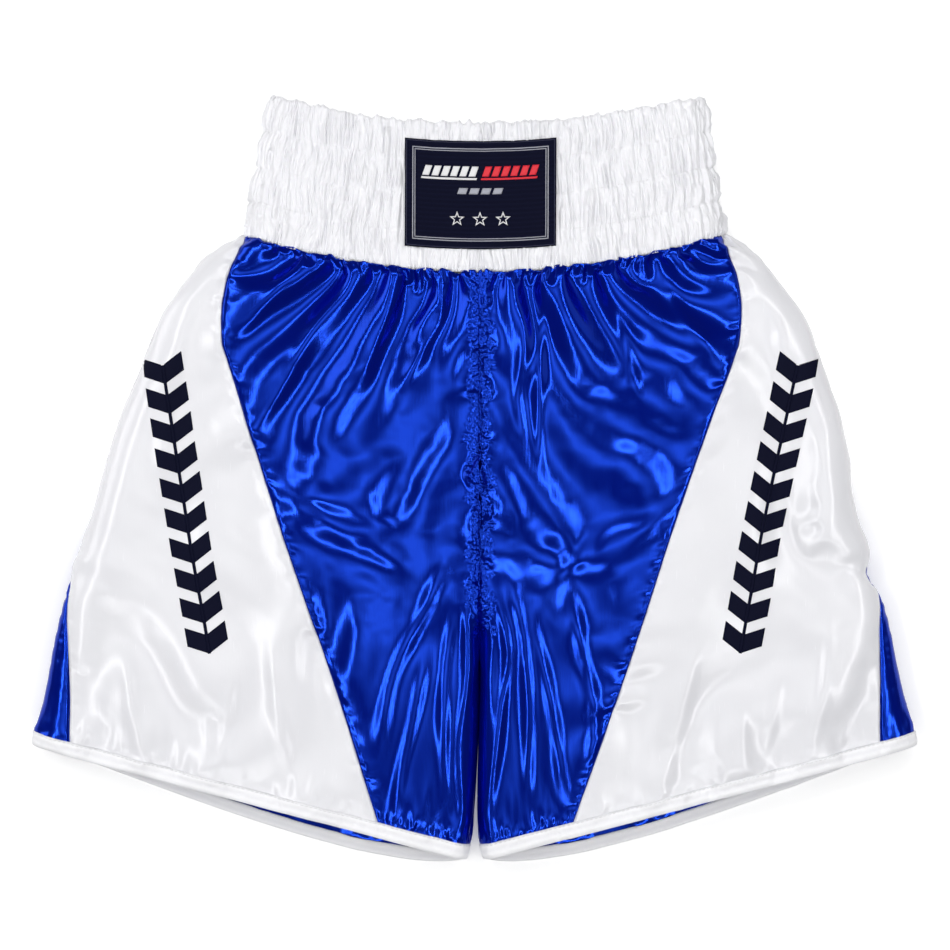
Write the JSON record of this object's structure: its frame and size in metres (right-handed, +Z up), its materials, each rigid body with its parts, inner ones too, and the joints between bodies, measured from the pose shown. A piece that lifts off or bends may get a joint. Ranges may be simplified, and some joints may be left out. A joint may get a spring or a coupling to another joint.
{
  "type": "boxing shorts",
  "caption": "Satin boxing shorts laid flat, with a gathered elastic waistband, contrast side panels and taped leg hems.",
  "frame": {"origin": "middle of the bounding box in X and Y, on the ground under the back panels", "axes": "shorts laid flat on their back: +Z up out of the front, +Y towards the waist, +X towards the wearer's left"},
  "size_m": [0.6562, 0.5668, 0.0306],
  "materials": {
    "front_panel": "blue satin",
    "side_panel": "white satin",
    "back_panel": "blue satin",
    "hem_tape": "ribbed white tape",
    "thread_white": "white sewing thread",
    "thread_blue": "blue overlock thread",
    "thread_navy": "navy sewing thread",
    "side_print": "navy printed film",
    "waist_casing": "white satin, gathered",
    "elastic_web": "woven elastic",
    "label_weave": "navy woven label",
    "label_grey": "grey embroidery",
    "label_white": "white embroidery",
    "label_red": "red embroidery"
  },
  "bodies": {
    "root": {"front_panel_left": "front_panel", "side_panel_left": "side_panel", "back_panel_left": "back_panel", "hem_tape_left": "hem_tape", "hem_stitching_left": "thread_white", "side_print_left": "side_print", "front_seam_allowance_left": "thread_blue", "back_seam_allowance_left": "thread_blue", "inseam_allowance_left": "thread_blue", "front_panel_right": "front_panel", "side_panel_right": "side_panel", "back_panel_right": "back_panel", "hem_tape_right": "hem_tape", "hem_stitching_right": "thread_white", "side_print_right": "side_print", "front_seam_allowance_right": "thread_blue", "back_seam_allowance_right": "thread_blue", "inseam_allowance_right": "thread_blue", "centre_front_seam_allowance": "thread_blue", "centre_back_seam_allowance": "thread_blue", "waist_seam_allowance": "thread_white", "waist_casing": "waist_casing", "elastic_band_1": "elastic_web", "waist_stitching_1": "thread_white", "elastic_band_2": "elastic_web", "waist_stitching_2": "thread_white", "elastic_band_3": "elastic_web", "waist_stitching_3": "thread_white", "elastic_band_4": "elastic_web", "waist_stitching_4": "thread_white", "label_patch": "label_weave", "label_frame": "label_grey", "label_stitching": "thread_navy", "label_bar_white": "label_white", "label_bar_red": "label_red", "label_bar_short": "label_white", "label_star_1": "label_white", "label_star_2": "label_white", "label_star_3": "label_white"}
  },
  "joints": []
}
